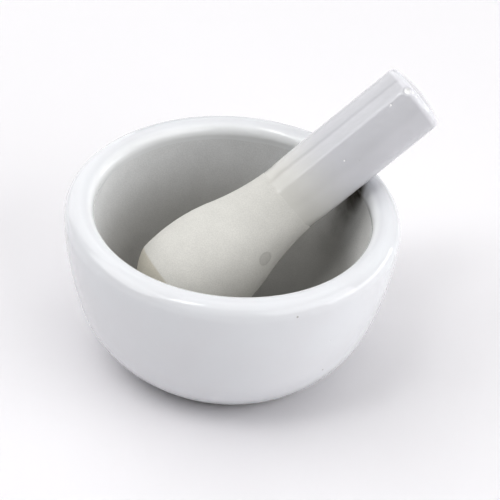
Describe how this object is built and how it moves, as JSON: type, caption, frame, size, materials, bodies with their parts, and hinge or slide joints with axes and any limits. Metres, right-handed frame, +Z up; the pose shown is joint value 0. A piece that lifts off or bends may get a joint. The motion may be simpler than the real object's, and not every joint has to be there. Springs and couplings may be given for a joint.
{
  "type": "mortar and pestle",
  "caption": "Round porcelain mortar, glazed outside with a bare bowl, and a loose pestle with a flared bare head leaning in it, for grinding small laboratory samples.",
  "frame": {"origin": "centre of the mortar's foot, on the bench", "axes": "+Z up along the axis of the bowl; the pestle's handle leans out over the rim towards +X and +Y"},
  "size_m": [0.1085, 0.0998, 0.085],
  "materials": {
    "mortar_porcelain": "bare fired porcelain, matt and fine grained, light grey",
    "mortar_glaze": "clear glossy glaze over white porcelain, faintly blue",
    "pestle_porcelain": "bare fired porcelain, matt and fine grained, cream white",
    "pestle_glaze": "clear glossy glaze over white porcelain, with a few pinholes"
  },
  "bodies": {
    "mortar": {"mortar_body": "mortar_porcelain", "mortar_glaze": "mortar_glaze"},
    "pestle": {"pestle_body": "pestle_porcelain", "pestle_glaze": "pestle_glaze"}
  },
  "joints": [
    {"name": "pestle_lift", "type": "slide", "parent": "mortar", "child": "pestle", "axis": [0, 0, 1], "range_m": [0, 0.08]}
  ]
}
